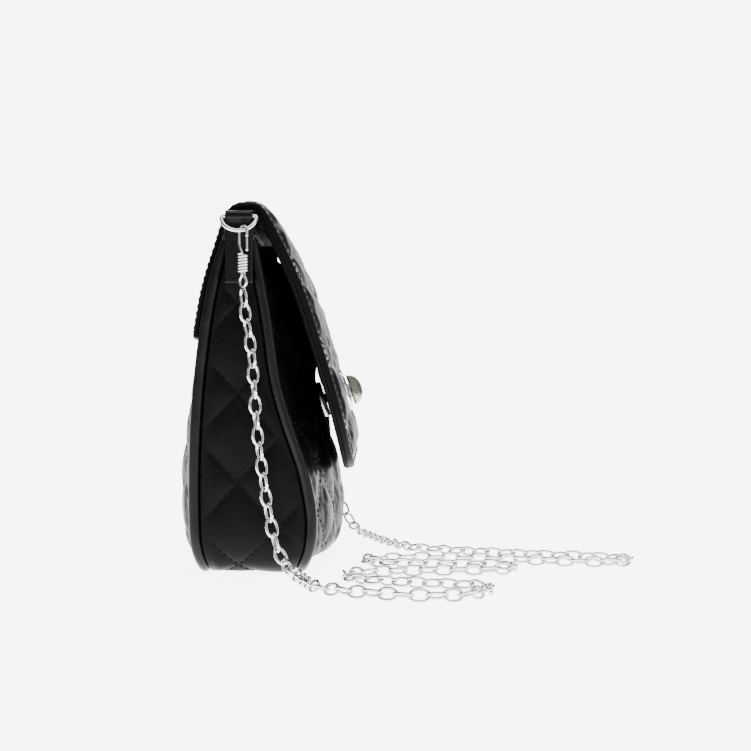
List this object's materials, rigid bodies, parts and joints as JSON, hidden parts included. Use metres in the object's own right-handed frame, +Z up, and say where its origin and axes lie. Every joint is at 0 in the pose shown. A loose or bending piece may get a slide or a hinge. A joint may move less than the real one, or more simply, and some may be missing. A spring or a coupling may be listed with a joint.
{
  "type": "crossbody purse",
  "caption": "Small quilted crossbody purse with a wrap-over flap, decorative turn lock, magnetic snap and a removable chain strap on snap hooks.",
  "frame": {"origin": "middle of the footprint of the purse without its chain strap, on the surface it stands on", "axes": "+X across the width, +Z up, front flap towards -Y"},
  "size_m": [0.2949, 0.1921, 0.1502],
  "materials": {
    "quilted_leather": "smooth black imitation leather, quilted in diamonds, satin",
    "smooth_leather": "smooth black imitation leather, satin",
    "lining_fabric": "plain woven lining",
    "stiffener_board": "pressed fibre board",
    "silver_metal": "bright plated wire",
    "dark_metal": "polished plated zinc"
  },
  "bodies": {
    "root": {"back_panel": "quilted_leather", "front_panel": "quilted_leather", "gusset_left": "quilted_leather", "gusset_right": "quilted_leather", "base_panel": "quilted_leather", "piping_front": "smooth_leather", "piping_back": "smooth_leather", "lining": "lining_fabric", "base_stiffener": "stiffener_board", "flap_rear": "smooth_leather", "snap_female": "silver_metal", "strap_tab_left": "smooth_leather", "hook_wire_left": "silver_metal", "hook_coil_left": "silver_metal", "strap_tab_right": "smooth_leather", "hook_wire_right": "silver_metal", "hook_coil_right": "silver_metal", "chain": "silver_metal"},
    "flap": {"flap_outer": "quilted_leather", "flap_lining": "smooth_leather", "lock_frame": "silver_metal", "snap_male": "silver_metal"},
    "lock_knob": {"lock_knob": "dark_metal"},
    "dring_left": {"dring_left": "silver_metal"},
    "dring_right": {"dring_right": "silver_metal"},
    "hook_gate_left": {"hook_gate_left": "silver_metal"},
    "hook_gate_right": {"hook_gate_right": "silver_metal"}
  },
  "joints": [
    {"name": "flap_hinge", "type": "hinge", "parent": "root", "child": "flap", "pos_m": [0, 0.0156, 0.143], "axis": [-1, 0, 0], "range_deg": [0, 160]},
    {"name": "knob_turn", "type": "hinge", "parent": "flap", "child": "lock_knob", "pos_m": [0, -0.0302, 0.0722], "axis": [0, -0.9511, 0.309], "range_deg": [0, 90]},
    {"name": "dring_swing_left", "type": "hinge", "parent": "root", "child": "dring_left", "pos_m": [-0.0965, 0.0092, 0.1437], "axis": [0, -1, 0], "range_deg": [0, 7]},
    {"name": "gate_swing_left", "type": "hinge", "parent": "root", "child": "hook_gate_left", "pos_m": [-0.10258, 0.00563, 0.1295], "axis": [-0.6428, 0.766, 0], "range_deg": [0, 18], "stiffness_Nm_per_rad": 0.002},
    {"name": "dring_swing_right", "type": "hinge", "parent": "root", "child": "dring_right", "pos_m": [0.0965, 0.0092, 0.1437], "axis": [0, 1, 0], "range_deg": [0, 7]},
    {"name": "gate_swing_right", "type": "hinge", "parent": "root", "child": "hook_gate_right", "pos_m": [0.10258, 0.00563, 0.1295], "axis": [-0.6428, -0.766, 0], "range_deg": [0, 18], "stiffness_Nm_per_rad": 0.002}
  ]
}
